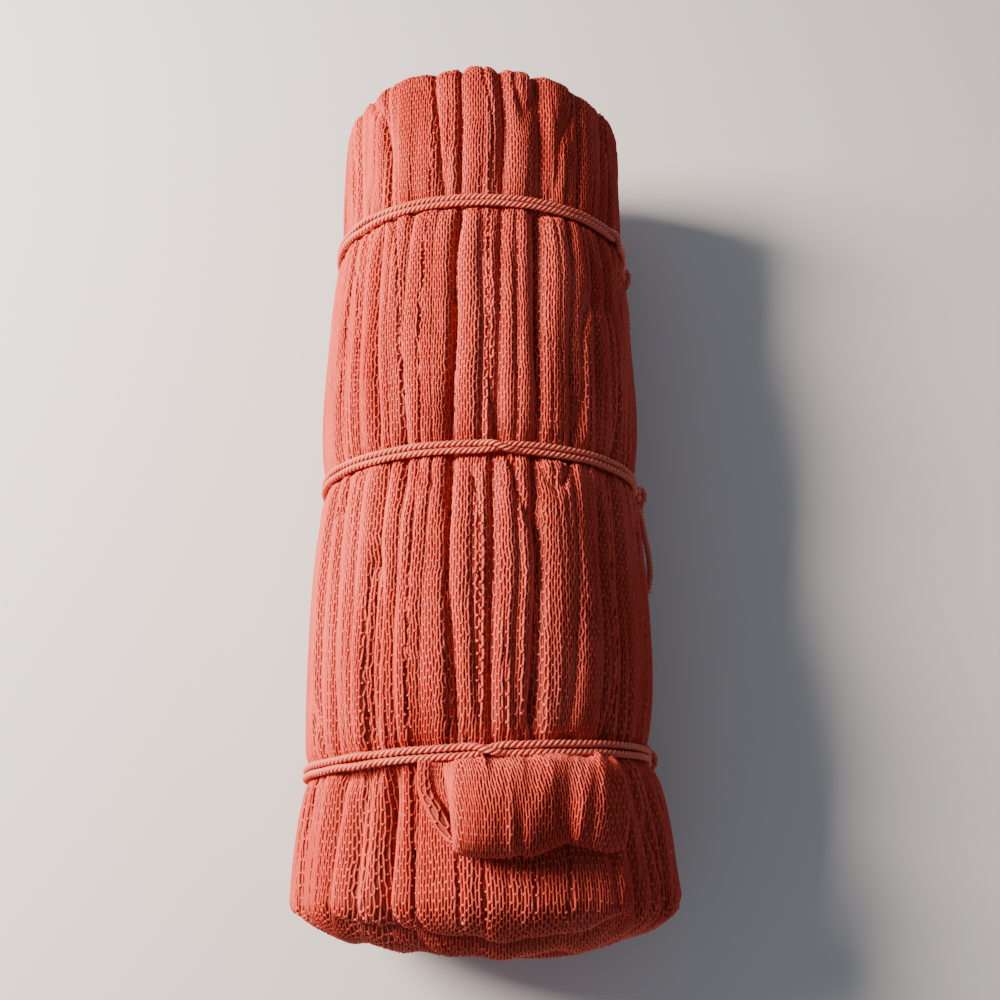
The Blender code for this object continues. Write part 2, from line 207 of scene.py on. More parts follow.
def laid(name, paths, opened=0.0):
    """Three strands laid round each path, as one mesh; opened is how far they part at the far end."""
    lines, ups, runs = [], [], []
    for path in paths:
        run = np.concatenate([[0], np.cumsum(np.linalg.norm(np.diff(path, axis=0), axis=1))])
        ahead = unit(np.gradient(path, axis=0))
        side = np.empty_like(path)
        square = (0.0, 1.0, 0.0) if abs(ahead[0][1]) < 0.9 else (1.0, 0.0, 0.0)
        side[0] = unit(np.cross(ahead[0], square))
        for i in range(1, len(path)):
            side[i] = unit(side[i - 1] - ahead[i] * (side[i - 1] @ ahead[i]))
        over = np.cross(ahead, side)
        spread = STRAND_OUT + opened * np.clip(1 + (run - run[-1]) / OPENED_OVER, 0, 1) ** 1.5
        for strand in range(3):
            angle = math.tau * (strand / 3 - run / LAY)
            out = np.cos(angle)[:, None] * side + np.sin(angle)[:, None] * over
            lines.append(path + out * spread[:, None])
            ups.append(out)
            runs.append(run * 1000)
    return strands(name, np.array(lines), np.array(ups), STRAND, STRAND_SIDES, laid_twine, np.array(runs))


def middle_of(node):
    low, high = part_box(node)
    return np.array((Vector(low) + Vector(high)) / 2)


for tie, routes in TAIL_ROUTES.items():
    knot_middle = middle_of(f"tie_{tie}_knot")
    for letter, route in zip("ab", routes):
        path = evenly(knot_middle + np.array(route), STEP)
        tail = laid(f"twine_{tie}_end_{letter}", [path], OPENED)
        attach(tail, "root")
        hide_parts(f"tie_{tie}_tail_{letter}")

# ---------------------------------------------------------------------------
# The body of netting
# Knotted nylon net of 7 mm mesh, pulled straight so that its meshes close, and
# folded back and forth into a bundle: hundreds of layers, of which the outer one
# shows. This piece is the mass under that layer, with every crease of it.
LENGTH = 0.556
ROUNDNESS = 2.05  # exponent of the cross-section: 2 is an ellipse, more is boxier
AXIS_X = -0.0045  # the bundle's middle line, which the flared skirt leans away from
WAIST = {"half_width": 0.0945, "top": 0.150, "under": 0.0065, "middle_x": AXIS_X}
REST_DEPTH = 0.009  # how far the round section would reach below the plane it is flattened on
GROOVE = 0.0105  # width of netting that the doubled twine pulls in
SWELL_POWER = 0.45
END_DOME = 0.030  # how far each end is rounded out
RIM = LENGTH / 2 - END_DOME
Tie = namedtuple("Tie", "y skew knot_angle")  # skew is how much it slants across the bundle
TIES = {
    "lower": Tie(y=-0.178, skew=0.055, knot_angle=101.0),
    "middle": Tie(y=-0.010, skew=0.010, knot_angle=97.0),
    "upper": Tie(y=0.158, skew=0.004, knot_angle=102.0),
}
TIE_Y = [tie.y for tie in TIES.values()]
STRETCHES = (  # name, start, end, half width, top, middle x
    ("skirt", -LENGTH / 2, TIE_Y[0], 0.1080, 0.1480, 0.0015),
    ("lower", TIE_Y[0], TIE_Y[1], 0.1005, 0.1650, AXIS_X),
    ("middle", TIE_Y[1], TIE_Y[2], 0.0995, 0.1645, AXIS_X),
    ("upper", TIE_Y[2], LENGTH / 2, 0.0965, 0.1630, AXIS_X),
)
CREASES = (  # stretch, angle at its lower end, angle at its upper end, depth, half width
    ("skirt", -41.0, -38.0, 0.0070, 2.0),
    ("skirt", -31.0, -27.0, 0.0120, 2.4),
    ("skirt", -50.0, -47.0, 0.0025, 1.6),
    ("skirt", -20.0, -18.5, 0.0030, 1.4),
    ("skirt", 47.0, 40.0, 0.0045, 2.0),
    ("skirt", 56.0, 51.0, 0.0030, 1.6),
    ("skirt", 66.0, 62.0, 0.0050, 2.4),
    ("skirt", -68.0, -66.0, 0.0050, 2.4),
    ("lower", -60.0, -60.0, 0.0040, 2.0),
    ("lower", -50.0, -52.0, 0.0030, 1.4),
    ("lower", -42.0, -41.0, 0.0020, 1.2),
    ("lower", -34.0, -32.0, 0.0048, 1.5),
    ("lower", -25.0, -26.0, 0.0034, 1.3),
    ("lower", -17.0, -15.0, 0.0022, 1.2),
    ("lower", -5.5, -9.5, 0.0085, 1.6),
    ("lower", 0.5, -1.5, 0.0038, 1.0),
    ("lower", 4.0, 5.0, 0.0100, 1.5),
    ("lower", 11.5, 12.5, 0.0028, 1.1),
    ("lower", 17.5, 19.0, 0.0085, 1.7),
    ("lower", 30.0, 33.0, 0.0024, 1.5),
    ("lower", 42.0, 45.0, 0.0030, 1.5),
    ("lower", 52.0, 56.0, 0.0045, 2.4),
    ("middle", -56.0, -57.0, 0.0040, 2.0),
    ("middle", -46.0, -47.0, 0.0026, 1.3),
    ("middle", -37.0, -39.0, 0.0052, 1.5),
    ("middle", -27.0, -25.0, 0.0026, 1.3),
    ("middle", -10.0, -7.0, 0.0105, 1.7),
    ("middle", 0.5, 2.0, 0.0045, 1.1),
    ("middle", 5.5, 8.0, 0.0075, 1.5),
    ("middle", 12.0, 14.0, 0.0030, 1.1),
    ("middle", 19.5, 22.0, 0.0090, 1.8),
    ("middle", 33.0, 35.0, 0.0032, 1.5),
    ("middle", 46.0, 45.0, 0.0028, 1.5),
    ("middle", 58.0, 54.0, 0.0048, 2.4),
    ("upper", -56.0, -60.0, 0.0040, 2.0),
    ("upper", -36.0, -40.0, 0.0052, 1.6),
    ("upper", -14.0, -20.0, 0.0056, 1.5),
    ("upper", -8.0, -7.0, 0.0105, 1.7),
    ("upper", 9.0, 7.0, 0.0072, 1.6),
    ("upper", 24.0, 22.0, 0.0070, 1.9),
    ("upper", 41.0, 42.0, 0.0034, 1.6),
    ("upper", 56.0, 60.0, 0.0042, 2.4),
)
ROLL_SEAMS = (0.044, 0.084, 0.121)  # heights between the hairpins that show at each end
SEAM_DEPTH = 0.011
SEAM_HALF_HEIGHT = 0.0050
VALLEY, PLEAT, GATHER = 0.0026, 0.0005, 0.0022  # depths: between panels, on them, and by the ties
STAND = 0.0018  # how far panels stand out between the ties
TIE_ROWS = 50  # bars from one tie to the next
BAR = (TIE_Y[1] - TIE_Y[0]) / TIE_ROWS  # from knot to knot along a thread
THREAD_STEP = 0.93  # degrees round the bundle from thread to thread
BODY_SINK = 0.0002  # the body lies this far under the skin, and the outer layer fills it

ROW_Y = np.linspace(-LENGTH / 2, LENGTH / 2, 2225)  # every quarter of a millimetre
SECTIONS = {key: np.zeros_like(ROW_Y) for key in ("half_width", "top", "under", "middle_x", "swell")}
for name, start, end, half_width, top, middle_x in STRETCHES:
    here = (ROW_Y >= start) & (ROW_Y <= end)
    low = start + (0 if name == "skirt" else GROOVE / 2)
    high = end - (0 if name == "upper" else GROOVE / 2)
    share = np.clip((ROW_Y[here] - low) / (high - low), 0, 1)
    if name == "skirt":  # half a swell, fullest at the rim
        share = (1 + share) / 2
    if name == "upper":
        share = share / 2
    swell = np.maximum(4 * share * (1 - share), 0) ** SWELL_POWER
    full = {"half_width": half_width, "top": top, "under": -REST_DEPTH, "middle_x": middle_x}
    for key, value in full.items():
        SECTIONS[key][here] = WAIST[key] + (value - WAIST[key]) * swell
    SECTIONS["swell"][here] = swell
SECTIONS["skew"] = np.interp(ROW_Y, [-LENGTH / 2, *TIE_Y, LENGTH / 2],
                             [0, *(tie.skew for tie in TIES.values()), 0])


def at(y, key):
    return np.interp(y, ROW_Y, SECTIONS[key])


GRID = 211
PATCHES = np.random.RandomState(20).uniform(-1, 1, (GRID, GRID))


def patchy(u, v, seed):
    """Smooth noise from -1 to 1, one patch for each unit of u and v.

    The offsets keep both above 0, and give each seed a part of the grid of its own."""
    u, v = np.broadcast_arrays(np.asarray(u, float) + 500.37 + 37.0 * seed, np.asarray(v, float) + 500.73)
    i, j = np.floor(u).astype(int), np.floor(v).astype(int)
    s, t = u - i, v - j
    s, t = s * s * (3 - 2 * s), t * t * (3 - 2 * t)
    a, b = PATCHES[i % GRID, j % GRID], PATCHES[(i + 1) % GRID, j % GRID]
    c, d = PATCHES[i % GRID, (j + 1) % GRID], PATCHES[(i + 1) % GRID, (j + 1) % GRID]
    return (a * (1 - s) + b * s) * (1 - t) + (c * (1 - s) + d * s) * t


def furrows(angle, y, across, along, share, seed):
    """1 along the middle of wandering furrows and 0 beyond a share of the way to the next."""
    return np.clip(1 - np.abs(patchy(angle / across, y / along, seed)) / share, 0, 1)


def relief(angle, y):
    """How far creases draw the netting in, less how far it stands out, in metres."""
    angle = angle + 0.9 * patchy(angle / 20, y / 0.05, 11)
    inward = np.zeros(np.broadcast(angle, y).shape)
    for name, start, end, *_ in STRETCHES:
        here = (y >= start) & (y < end) if name != "upper" else y >= start
        share = (y - start) / (end - start)
        for stretch, lower, upper, depth, half_width in CREASES:
            if stretch == name:
                off = np.abs(angle - lower - (upper - lower) * share) / half_width
                strength = 0.85 + 0.35 * patchy(lower, y / 0.045, 5)
                shape = 0.62 * np.exp(-(off ** 1.5)) + 0.38 * np.exp(-off / 2.2)
                inward = inward + here * strength * depth * shape
    swell = at(y, "swell")
    valleys = furrows(angle, y, across=10, along=0.15, share=0.11, seed=3) ** 1.3
    pleats = furrows(angle, y, across=4.2, along=0.08, share=0.22, seed=4)
    gathers = furrows(angle, y, across=4.1, along=0.20, share=0.4, seed=8) * np.clip(1.2 - swell, 0, 1)
    stand = STAND * patchy(angle / 12, y / 0.08, 6) * swell
    drawn = inward * (0.25 + 0.75 * np.clip(swell * 1.6, 0, 1))
    return drawn + VALLEY * valleys + PLEAT * pleats + GATHER * gathers - stand


def skin(angle, y, out=0.0, creased=True):
    """Points of the netting's outside, at angles in degrees from its top towards +X."""
    angle, y, out = np.broadcast_arrays(*(np.asarray(v, float) for v in (angle, y, out)))
    half_height = (at(y, "top") - at(y, "under")) / 2
    turn = np.radians(angle)
    x = at(y, "half_width") * np.sign(np.sin(turn)) * np.abs(np.sin(turn)) ** (2 / ROUNDNESS)
    z = half_height * np.sign(np.cos(turn)) * np.abs(np.cos(turn)) ** (2 / ROUNDNESS)
    inward = relief(angle, y) if creased else 0.0
    scale = 1 + (out - inward) / np.hypot(x, z)
    x, z = x * scale, z * scale
    z = z + (at(y, "top") + at(y, "under")) / 2
    return np.stack([x + at(y, "middle_x"), y + at(y, "skew") * x, np.maximum(z, 0.0)], -1)


def seam_depth(x, z):
    """The grooves between the hairpins that are stacked at an end."""
    depth = 0.0
    for number, height in enumerate(ROLL_SEAMS):
        line = height + 0.006 * patchy(x / 0.05, number + 0.5, 21)
        depth = depth + SEAM_DEPTH * np.exp(-np.abs((z - line) / SEAM_HALF_HEIGHT) ** 1.3)
    return depth


def end_skin(x, z, end, out=0.0):
    """Points of an end's rolls at (x, z), out along the bundle. end is -1 or 1."""
    rim = end * RIM
    half_width, power = at(rim, "half_width"), ROUNDNESS / 2
    middle_z = (at(rim, "top") + at(rim, "under")) / 2
    half_height = (at(rim, "top") - at(rim, "under")) / 2
    across, up = (x - at(rim, "middle_x")) / half_width, (z - middle_z) / half_height
    size = (np.abs(across) ** ROUNDNESS + np.abs(up) ** ROUNDNESS) ** (1 / ROUNDNESS)
    turn = np.arctan2(np.sign(across) * np.abs(across) ** power, np.sign(up) * np.abs(up) ** power)
    reach = np.hypot(across * half_width, up * half_height) / np.maximum(size, 1e-6)
    creased = relief(np.degrees(turn), rim) / np.maximum(reach, 1e-6)
    size = np.minimum(size / (1 - creased), 1)
    dome = END_DOME * np.sqrt(1 - size**2)
    dome = dome - seam_depth(x, z) * (1 - size**5) + 0.0020 * patchy(x / 0.014, z / 0.03, 23) * (1 - size**8)
    return np.stack([x, rim + end * (np.minimum(dome, END_DOME) + out), np.maximum(z, 0.0)], -1)


# Dipped nylon netting: matt brick-red thread, paler and pinker where the dip has worn
# off its fibres, and each leg of it a little lighter or darker than the next.
def netting_material(name, red, pink, slits=None):
    """slits is a painted shade: the dark colour between the threads of a surface that only draws them."""
    material = bpy.data.materials.new(name)
    material.use_nodes = True
    tree = material.node_tree
    shader = tree.nodes["Principled BSDF"]
    place = add(tree, "ShaderNodeTexCoord")
    stretched = add(tree, "ShaderNodeMapping", {"Scale": (1.0, 0.35, 1.0)},
                    {"Vector": place.outputs["Object"]})
    patch = add(tree, "ShaderNodeTexNoise", {"Scale": 22.0, "Detail": 3.0, "Roughness": 0.6},
                {"Vector": stretched.outputs[0]})
    worn = add(tree, "ShaderNodeMapRange", {"From Min": 0.36, "From Max": 0.66},
               {"Value": patch.outputs["Fac"]})
    leg = add(tree, "ShaderNodeVectorMath", {"operation": "FLOOR"}, {0: place.outputs["UV"]})
    own = add(tree, "ShaderNodeTexWhiteNoise", {"noise_dimensions": "2D"}, {"Vector": leg.outputs[0]})
    mixed = add(tree, "ShaderNodeMath", {"operation": "MULTIPLY_ADD", 1: 0.5},
                {0: own.outputs[0], 2: worn.outputs[0]})
    faded = add(tree, "ShaderNodeMath", {"operation": "SUBTRACT", 1: 0.25}, {0: mixed.outputs[0]})
    colour = add(tree, "ShaderNodeMix", {"data_type": "RGBA", 6: linear(red), 7: linear(pink)},
                 {0: faded.outputs[0]})
    fibre = add(tree, "ShaderNodeTexNoise", {"Scale": 1400.0, "Detail": 1.0},
                {"Vector": place.outputs["Object"]})
    height = fibre.outputs["Fac"]
    # Painted shade: the gaps between drawn threads are mixed towards the slits colour.
    if slits:
        split = add(tree, "ShaderNodeSeparateXYZ", {}, {0: place.outputs["UV"]})
        weave = add(tree, "ShaderNodeMath", {"operation": "PINGPONG", 1: 0.5}, {0: split.outputs[0]})
        depth = add(tree, "ShaderNodeMapRange", {"From Min": 0.08, "From Max": 0.34},
                    {"Value": weave.outputs[0]})
        colour = add(tree, "ShaderNodeMix", {"data_type": "RGBA", 6: linear(slits)},
                     {0: depth.outputs[0], 7: colour.outputs[2]})
        height = add(tree, "ShaderNodeMath", {"operation": "MULTIPLY_ADD", 1: 2.0},
                     {0: depth.outputs[0], 2: height}).outputs[0]
    tree.links.new(colour.outputs[2], shader.inputs["Base Color"])
    bump = add(tree, "ShaderNodeBump", {"Strength": 0.6, "Distance": 0.0003}, {"Height": height})
    tree.links.new(bump.outputs[0], shader.inputs["Normal"])
    shader.inputs["Roughness"].default_value = 0.72
    shader.inputs["Specular IOR Level"].default_value = 0.10
    return material


# The layers underneath, which show through the slits, with painted shade: their thread is painted darker and
# the gaps between threads brown, for lying deeper in shade.
shaded_inner_netting = netting_material("inner_net_layers_painted_shade", "#8C3A30", "#9E4A3E", slits="#6A2A22")


def rings_solid(name, rings, numbers, material):
    """A closed solid over rings of as many points, its UV map in threads and rows."""
    rings = np.asarray(rings)
    count, around = rings.shape[:2]
    row, spot = np.indices((count - 1, around))
    nxt = (spot + 1) % around
    quads = np.stack([row * around + spot, row * around + nxt, (row + 1) * around + nxt,
                      (row + 1) * around + spot], -1).reshape(-1, 4)
    edge = np.arange(around)
    last = (count - 1) * around
    low_cap = np.stack([(edge + 1) % around, edge, np.full(around, count * around)], -1)
    high_cap = np.stack([last + edge, last + (edge + 1) % around, np.full(around, count * around + 1)], -1)
    numbers = np.append(numbers, 2 * numbers[-1] - numbers[-2])
    u = np.stack([numbers[spot], numbers[spot + 1], numbers[spot + 1], numbers[spot]], -1)
    v = np.stack([row, row, row + 1, row + 1], -1) * 0.25
    cap_u = np.stack([numbers[1:], numbers[:-1], numbers[:-1]], -1)
    uv = [np.stack([u, v], -1).reshape(-1, 2)]
    uv += [np.stack([cap_u, np.full(cap_u.shape, level)], -1).reshape(-1, 2) for level in (0, count / 4)]
    points = np.vstack([rings.reshape(-1, 3), rings[0].mean(0), rings[-1].mean(0)])
    return solid(name, points, [quads, low_cap, high_cap], np.concatenate(uv), material)


def on_bundle(y_start, out=0.0):
    """The surface that threads of the bundle follow, in threads and bars from y_start."""
    def surface(column, row):
        angle = column * THREAD_STEP
        y = y_start + row * BAR
        # Threads wander round the bundle, and rows of knots along it.
        angle = angle + 1.1 * patchy(angle / 16, y / 0.055, 13) + 0.22 * patchy(angle / 4, y / 0.03, 14)
        y = y + 0.0024 * patchy(angle / 17, y / 0.04, 15) + 0.0008 * patchy(angle / 3, y / 0.03, 16)
        return skin(angle, y, out)
    return surface


# A column under each thread that shows, fewer where the bundle rests, and a row at each
# row of knots, 20 of them below the lowest tie and 26 above the highest.
body_columns = np.concatenate([np.arange(-145, 146), np.arange(154, 234, 8)])
along = on_bundle(0.0, -BODY_SINK)
body_rows = [-RIM / BAR, *np.arange(TIE_Y[0] / BAR - 20, TIE_Y[2] / BAR + 26.5), RIM / BAR]
bundle_rings = [along(body_columns, row) for row in body_rows]
end_rings = {}
SETTLES = 0.07  # the share of an end's size over which it takes up the rim's own shape
for end, edge in ((-1, bundle_rings[0]), (1, bundle_rings[-1])):
    middle_z = (at(end * RIM, "top") + at(end * RIM, "under")) / 2
    centre = np.array([at(end * RIM, "middle_x"), end * RIM, middle_z])
    offset = edge[:, 1] - end_skin(edge[:, 0], edge[:, 2], end, -BODY_SINK)[:, 1]
    end_rings[end] = []
    for size in np.sin(np.linspace(math.pi / 2, 0.06, 30))[1:]:
        flat = centre + (edge - centre) * size
        face = end_skin(flat[:, 0], flat[:, 2], end, -BODY_SINK)
        face[:, 1] += offset * max(1 - (1 - size) / SETTLES, 0)
        end_rings[end].append(face)
rings = end_rings[-1][::-1] + bundle_rings + end_rings[1]
body = rings_solid("netting_body", rings, body_columns, shaded_inner_netting)
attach(body, "root")
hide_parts("net_bundle")

# ---------------------------------------------------------------------------
# The outer layer of netting
# Each thread is soft twisted nylon a little over 1 mm thick. It is knotted to the
# neighbour on one side and then, 3.4 mm on, to the other, so that the slits between
# threads are short and staggered like brickwork, and the knots lie in rows.
THREAD = 0.00080  # radius of its three-sided section, as wide as a round 1.4 mm thread
LIFT = 0.0001  # from the skin to the middle of the threads
LOWEST = 0.0011  # the middle of a thread stays this far above what the bundle rests on
KNOT_HALF_SIZES = (0.00165, 0.00105, 0.00096)  # across the threads, along them and outwards
FACE_ROWS = 50  # bars from the top of an end's face to its underside
RIM_ROWS = 6  # bars past the rim over which threads settle onto the end

# The dipped net as above, and its knots, which stand out and are painted paler than the thread: a painted
# highlight for the light they catch.
outer_netting = netting_material("dipped_nylon_net", "#BA3E31", "#D05648")
knot_netting_painted_highlight = netting_material("dipped_net_knots_painted_highlight", "#C04639", "#D66455")


def framed(surface, column, row):
    """Points over a surface, and the directions out from it."""
    here = surface(column, row)
    here[..., 2] = np.maximum(here[..., 2], LOWEST)
    up = unit(np.cross(surface(column + 0.4, row) - surface(column - 0.4, row),
                       surface(column, row + 0.2) - surface(column, row - 0.2)))
    return here + up * LIFT, up


def openness(column, row):
    """How far threads part between knots: the share of their spacing that each swings by."""
    return 0.15 + 0.13 * np.clip(patchy(column / 9, row / 12, 31), -0.6, 1)


def pulled_open(column, row):
    """As openness, with the patch of the lower stretch where the meshes have been pulled apart."""
    patch = np.exp(-(((column * THREAD_STEP - 32) / 6.5) ** 2) - ((row - 24) / 10) ** 2)
    return openness(column, row) + 0.5 * patch


def swayed(column, row):
    """How far each row of knots has slipped sideways from the next, in threads."""
    def slip(knots):
        return 0.34 * patchy(column / 6, knots * 0.61, 36) + 0.12 * patchy(column / 1.9, knots * 1.73, 37)

    knots = np.floor(row)
    share = row - knots
    return slip(knots) * (1 - share) + slip(knots + 1) * share


def knotted(name, surface, columns, rows, slack, points=1):
    """Threads knotted in turn to either side, over a surface counted in threads and bars.

    Each has a number of points to the bar."""
    steps = np.arange(rows[0] * points, rows[1] * points + 1) / points
    column = np.asarray(columns)[:, None]
    side = np.where(column % 2 == 0, 1, -1) * np.cos(math.pi * steps)  # the neighbour that it leans to
    sway = swayed(column, steps) + 0.5 * slack(column, steps) * side
    sway = sway + 0.05 * patchy(column * 1.7, steps * 1.9, 33)
    paths, ups = framed(surface, column + sway, steps + 0 * column)
    return strands(name, paths, ups, THREAD, 3, outer_netting, steps, first=int(columns[0]))


def net_knots(name, surface, columns, rows):
    """The knots as one mesh, each a flat lump of eight faces."""
    column, row = np.meshgrid(np.asarray(columns)[:-1], np.arange(*rows), indexing="ij")
    tied = (column + row) % 2 == 0
    column, row = column[tied] + 0.5, row[tied].astype(float)
    column = column + swayed(column, row)
    row = row + 0.08 * patchy(column * 2.3, row * 1.9, 44)
    centre, up = framed(surface, column, row)
    ahead = unit(surface(column, row + 0.2) - surface(column, row - 0.2))
    side = unit(np.cross(ahead, up))
    size = 0.95 + 0.18 * patchy(column / 6, row / 5, 41) + 0.16 * patchy(column * 3.1, row * 2.3, 42)
    size = size[:, None]
    across, along, out = KNOT_HALF_SIZES
    peak = up * out * (0.6 + 0.4 * size)
    turn = ((np.arange(4) + 0.5) * math.tau / 4)[:, None, None]
    ring = centre + (np.cos(turn) * side * across + np.sin(turn) * ahead * along) * size
    points = np.concatenate([ring, [centre + peak, centre - peak]]).transpose(1, 0, 2)
    one = np.array([[i, (i + 1) % 4, 4] for i in range(4)] + [[(i + 1) % 4, i, 5] for i in range(4)])
    faces = (np.arange(len(centre))[:, None, None] * 6 + one).reshape(-1, 3)
    number = np.repeat(np.arange(len(centre)), one.size) + 0.5
    return solid(name, points.reshape(-1, 3), [faces], np.stack([number, number * 0], -1), knot_netting_painted_highlight)


def on_end(end, inwards=False):
    """As on_bundle, from a tie outwards, then over the rim and down or in towards its middle."""
    tie_y = TIE_Y[0] if end < 0 else TIE_Y[2]
    free = (RIM - abs(tie_y)) / BAR
    along = on_bundle(tie_y)
    middle_x = at(end * RIM, "middle_x")
    middle_z = (at(end * RIM, "top") + at(end * RIM, "under")) / 2
    half_height = (at(end * RIM, "top") - at(end * RIM, "under")) / 2

    def surface(column, row):
        column, row = np.broadcast_arrays(np.asarray(column, float), np.asarray(row, float))
        point = along(column, end * np.minimum(np.abs(row), free))
        past = np.clip(np.abs(row) - free, 0, FACE_ROWS)
        # Down the face, fast in the middle and slow at the rims, where the dome is steep.
        start = np.arccos(np.clip((point[..., 2] - middle_z) / half_height, -1, 1))
        x = point[..., 0]
        z = middle_z + half_height * np.cos(start + (math.pi - 2 * start) * past / FACE_ROWS)
        if inwards:
            size = np.cos(past * BAR / END_DOME)
            x = middle_x + (x - middle_x) * size
            z = middle_z + (point[..., 2] - middle_z) * size
        face = end_skin(x, np.where(past > 0, z, point[..., 2]), end)
        at_rim = end_skin(point[..., 0], point[..., 2], end)
        offset = (point[..., 1] - at_rim[..., 1]) * np.clip(1 - past / RIM_ROWS, 0, 1)
        over_rim = face + np.stack([0 * offset, offset, 0 * offset], -1)
        return np.where((past > 0)[..., None], over_rim, point)
    return surface


LOWEST_THREAD, SIDE_THREAD = 142, 84  # counted either way from the top of the bundle
ALL_ROUND = np.arange(-LOWEST_THREAD, LOWEST_THREAD + 1)
OVER_THE_TOP = np.arange(-SIDE_THREAD, SIDE_THREAD + 1)
LEFT_SIDE = np.arange(-LOWEST_THREAD, -SIDE_THREAD + 1)
RIGHT_SIDE = np.arange(SIDE_THREAD, LOWEST_THREAD + 1)
SPANS = {  # the surface, its threads, its first and last row, and how open its meshes are
    "skirt": (on_end(-1), OVER_THE_TOP, (-70, 1), openness),
    "skirt_left": (on_end(-1, inwards=True), LEFT_SIDE, (-23, 1), openness),
    "skirt_right": (on_end(-1, inwards=True), RIGHT_SIDE, (-23, 1), openness),
    "lower": (on_bundle(TIE_Y[0]), ALL_ROUND, (0, TIE_ROWS), pulled_open),
    "middle": (on_bundle(TIE_Y[1]), ALL_ROUND, (0, TIE_ROWS), openness),
    "upper": (on_end(1), OVER_THE_TOP, (0, 76), openness),
    "upper_left": (on_end(1, inwards=True), LEFT_SIDE, (0, 30), openness),
    "upper_right": (on_end(1, inwards=True), RIGHT_SIDE, (0, 30), openness),
}
for span, (surface, columns, rows, slack) in SPANS.items():
    threads = knotted(f"net_{span}_threads", surface, columns, rows, slack)
    knots = net_knots(f"net_{span}_knots", surface, columns, (rows[0] + 1, rows[1]))
    for piece in (threads, knots):
        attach(piece, "root")

# ---------------------------------------------------------------------------
# The turned-over end
# The last fold of the net, a pad of some twenty layers, comes out from under the lower
# tie, turns over and goes back under it, so that it stands open like a hairpin.
HAIRPIN_STATIONS = np.array((  # x, how far it reaches past the tie, how high it stands
    (-0.036, 0.0400, 0.0150), (-0.024, 0.0415, 0.0175), (-0.014, 0.0490, 0.0230), (0.000, 0.0520, 0.0245),
    (0.010, 0.0525, 0.0240), (0.014, 0.0510, 0.0225), (0.024, 0.0525, 0.0230), (0.032, 0.0500, 0.0205),
    (0.042, 0.0460, 0.0175), (0.052, 0.0500, 0.0190), (0.062, 0.0525, 0.0185), (0.070, 0.0510, 0.0140),
    (0.076, 0.0460, 0.0080),
))
HAIRPIN_ROUTE = (  # shares of that reach and height, along the middle of the pad
    (-0.05, -0.18), (0.06, -0.14), (0.13, 0.12), (0.20, 0.48), (0.30, 0.72), (0.45, 0.86),
    (0.64, 0.90), (0.82, 0.80), (0.92, 0.58), (0.93, 0.34), (0.82, 0.14), (0.60, 0.06),
    (0.35, 0.05), (0.14, 0.0), (-0.05, -0.18),
)
ROUTE_SCALE = np.array((0.050, 0.022))  # a usual reach and height, to space the route's points by
HAIRPIN_LEFT = (  # shares along the route, and the x of the pad's left edge there
    (0.0, 0.15, 0.35, 0.50, 0.57, 0.65, 0.77, 0.85, 1.0),
    (-0.0225, -0.0195, -0.0150, -0.0130, -0.0135, -0.0240, -0.0315, -0.0325, -0.0320),
)
HAIRPIN_RIGHT = (  # the same for its right edge
    (0.0, 0.15, 0.35, 0.50, 0.65, 1.0),
    (0.0655, 0.0690, 0.0735, 0.0700, 0.0690, 0.0640),
)
LIP_X, LIP_DROP = -0.0095, 0.0085  # left of this the upper layers curl down, by so much at their edge
BEAD = 0.0058  # how high the under layers' rolled edge stands by the fold, and half as high by the tie
BEAD_IN, BEAD_HALF_WIDTH = 0.0022, 0.0032
HAIRPIN_FOLDS = (  # along and x where it starts, along and x where it ends, depth, half width
    (0.26, 0.0120, 0.60, 0.0125, 0.0013, 0.0024),
    (0.04, 0.0245, 0.20, 0.0315, 0.0015, 0.0026),
    (0.20, 0.0315, 0.36, 0.0286, 0.0011, 0.0036),
    (0.18, 0.0525, 0.60, 0.0430, 0.0021, 0.0044),
    (0.05, -0.0020, 0.20, 0.0010, 0.0016, 0.0016),
    (0.02, 0.0560, 0.14, 0.0590, 0.0018, 0.0018),
)
NOSE = 0.56  # the share of the route at which the upper layers turn back under
PAD = 0.0024  # half of the pad's thickness
PAD_WIDTH = 0.095
PAD_EDGE = 0.03  # the share of the pad's width that each rounded edge takes
LIP = 0.16  # the share of the pad's width that curls, where it is wider than it looks
PAD_ROWS = 38  # bars along it
PAD_COLUMNS = 136  # threads round it
PAD_RINGS = 90


def eased(marks, values):
    """A table from marks to values with its corners rounded off."""
    fine = np.linspace(marks[0], marks[-1], 241)
    straight = np.pad(np.interp(fine, marks, values), 14, mode="edge")
    window = np.hanning(31)[1:-1]
    return fine, np.convolve(straight, window / window.sum(), mode="same")[14:-14]


route = evenly(np.array(HAIRPIN_ROUTE) * ROUTE_SCALE, 0.0005) / ROUTE_SCALE
route_share = np.linspace(0, 1, len(route))
left_edge, right_edge = eased(*HAIRPIN_LEFT), eased(*HAIRPIN_RIGHT)
noses = eased(HAIRPIN_STATIONS[:, 0], HAIRPIN_STATIONS[:, 1])
rises = eased(HAIRPIN_STATIONS[:, 0], HAIRPIN_STATIONS[:, 2])

